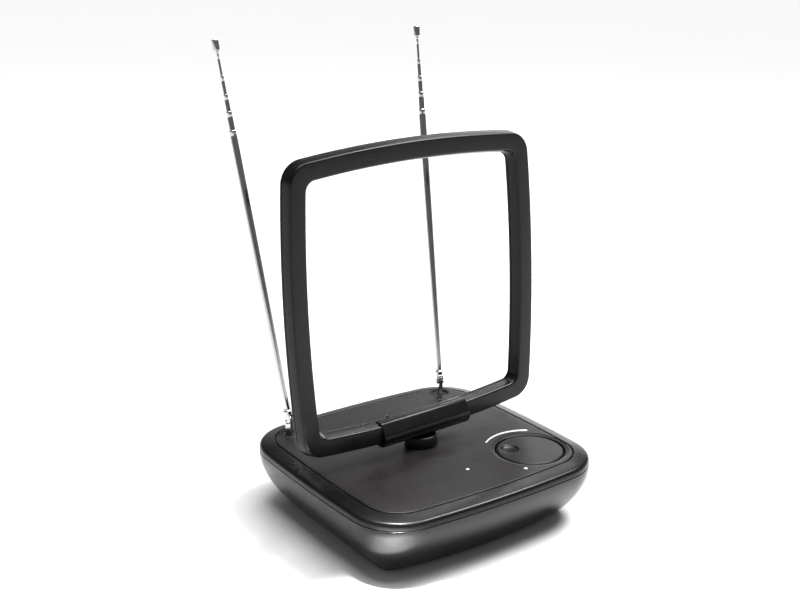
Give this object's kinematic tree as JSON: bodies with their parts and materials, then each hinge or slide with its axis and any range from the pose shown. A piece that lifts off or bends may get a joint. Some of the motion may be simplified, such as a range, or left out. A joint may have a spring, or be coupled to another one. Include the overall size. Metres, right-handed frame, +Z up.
{
  "type": "rabbit ears antenna",
  "caption": "Indoor television antenna: a bowl-shaped base with a gain dial, telescopic rods on swivelling studs, and a rounded square loop that tilts and swivels.",
  "frame": {"origin": "centre of the base housing's flat underside; the rubber feet stand 1.5 mm below it", "axes": "+Z up, -Y towards the front, +X to the right seen from the front, where the gain dial is"},
  "size_m": [0.1943, 0.2065, 0.3007],
  "materials": {
    "gloss_black_plastic": "moulded, glossy",
    "satin_black_plastic": "moulded, satin",
    "matt_black_plastic": "moulded, finely textured",
    "black_rubber": "moulded, matt",
    "chrome_plate": "bright plated",
    "plain_steel": "plain turned",
    "zinc_plate": "zinc plated",
    "nickel_plate": "nickel-plated brass",
    "tinned_steel": "tinned sheet",
    "brass": "plain",
    "circuit_board_green": "lacquered laminate",
    "milky_lens": "translucent, moulded"
  },
  "bodies": {
    "base": {"base_housing": "gloss_black_plastic", "top_cover": "satin_black_plastic", "top_panel": "matt_black_plastic", "ballast_plate": "plain_steel", "foot_front_left": "black_rubber", "foot_front_right": "black_rubber", "foot_rear_left": "black_rubber", "foot_rear_right": "black_rubber", "case_screw_1": "zinc_plate", "case_screw_2": "zinc_plate", "case_screw_3": "zinc_plate", "case_screw_4": "zinc_plate", "circuit_board": "circuit_board_green", "amplifier_shield": "tinned_steel", "gain_potentiometer": "tinned_steel", "indicator_lamp": "milky_lens", "light_pipe": "milky_lens", "coax_socket": "nickel_plate", "power_inlet": "matt_black_plastic", "rod_bush_left": "matt_black_plastic", "rod_bush_right": "matt_black_plastic"},
    "dial": {"gain_dial": "satin_black_plastic", "gain_shaft": "brass"},
    "loop_bracket": {"sleeve_front": "satin_black_plastic", "sleeve_rear": "satin_black_plastic", "sleeve_screw_left": "zinc_plate", "sleeve_screw_right": "zinc_plate", "post_retaining_ring": "plain_steel"},
    "loop": {"loop_front_frame": "satin_black_plastic", "loop_rear_frame": "satin_black_plastic", "loop_conductor": "brass", "tilt_axle": "plain_steel", "tilt_washer_left": "plain_steel", "tilt_washer_right": "plain_steel"},
    "rod_stud_left": {"rod_stud_left": "chrome_plate", "stud_clip_left": "plain_steel"},
    "rod_left": {"rod_knuckle_left": "chrome_plate", "rod_rivet_left": "plain_steel", "rod_tube_1_left": "chrome_plate"},
    "section_2_left": {"rod_tube_2_left": "chrome_plate"},
    "section_3_left": {"rod_tube_3_left": "chrome_plate"},
    "section_4_left": {"rod_tube_4_left": "chrome_plate"},
    "section_5_left": {"rod_tube_5_left": "chrome_plate", "rod_tip_left": "chrome_plate"},
    "rod_stud_right": {"rod_stud_right": "chrome_plate", "stud_clip_right": "plain_steel"},
    "rod_right": {"rod_knuckle_right": "chrome_plate", "rod_rivet_right": "plain_steel", "rod_tube_1_right": "chrome_plate"},
    "section_2_right": {"rod_tube_2_right": "chrome_plate"},
    "section_3_right": {"rod_tube_3_right": "chrome_plate"},
    "section_4_right": {"rod_tube_4_right": "chrome_plate"},
    "section_5_right": {"rod_tube_5_right": "chrome_plate", "rod_tip_right": "chrome_plate"}
  },
  "joints": [
    {"name": "gain_dial_turn", "type": "hinge", "parent": "base", "child": "dial", "pos_m": [0.0528, -0.0467, 0.0426], "axis": [0, 0, 1], "range_deg": [-150, 150]},
    {"name": "loop_swivel", "type": "hinge", "parent": "base", "child": "loop_bracket", "pos_m": [0, 0.0013, 0.0431], "axis": [0, 0, 1], "range_deg": [-30, 30]},
    {"name": "loop_tilt", "type": "hinge", "parent": "loop_bracket", "child": "loop", "pos_m": [0, 0.0013, 0.0588], "axis": [0.9992, 0.0401, 0], "range_deg": [-22, 60]},
    {"name": "rod_swivel_left", "type": "hinge", "parent": "base", "child": "rod_stud_left", "pos_m": [-0.0629, 0.0648, 0.0431], "axis": [0, 0, -1], "range_deg": [-90, 90]},
    {"name": "rod_tilt_left", "type": "hinge", "parent": "rod_stud_left", "child": "rod_left", "pos_m": [-0.0629, 0.0648, 0.0531], "axis": [0.9578, 0.2874, 0], "range_deg": [-75, 15]},
    {"name": "rod_slide_2_left", "type": "slide", "parent": "rod_left", "child": "section_2_left", "axis": [-0.0627, 0.2089, 0.9759], "range_m": [0, 0.165]},
    {"name": "rod_slide_3_left", "type": "slide", "parent": "section_2_left", "child": "section_3_left", "axis": [-0.0627, 0.2089, 0.9759], "range_m": [0, 0.165]},
    {"name": "rod_slide_4_left", "type": "slide", "parent": "section_3_left", "child": "section_4_left", "axis": [-0.0627, 0.2089, 0.9759], "range_m": [0, 0.165]},
    {"name": "rod_slide_5_left", "type": "slide", "parent": "section_4_left", "child": "section_5_left", "axis": [-0.0627, 0.2089, 0.9759], "range_m": [0, 0.165]},
    {"name": "rod_swivel_right", "type": "hinge", "parent": "base", "child": "rod_stud_right", "pos_m": [0.0629, 0.0648, 0.0431], "axis": [0, 0, 1], "range_deg": [-90, 90]},
    {"name": "rod_tilt_right", "type": "hinge", "parent": "rod_stud_right", "child": "rod_right", "pos_m": [0.0629, 0.0648, 0.0531], "axis": [0.9578, -0.2874, 0], "range_deg": [-75, 15]},
    {"name": "rod_slide_2_right", "type": "slide", "parent": "rod_right", "child": "section_2_right", "axis": [0.0627, 0.2089, 0.9759], "range_m": [0, 0.165]},
    {"name": "rod_slide_3_right", "type": "slide", "parent": "section_2_right", "child": "section_3_right", "axis": [0.0627, 0.2089, 0.9759], "range_m": [0, 0.165]},
    {"name": "rod_slide_4_right", "type": "slide", "parent": "section_3_right", "child": "section_4_right", "axis": [0.0627, 0.2089, 0.9759], "range_m": [0, 0.165]},
    {"name": "rod_slide_5_right", "type": "slide", "parent": "section_4_right", "child": "section_5_right", "axis": [0.0627, 0.2089, 0.9759], "range_m": [0, 0.165]}
  ]
}
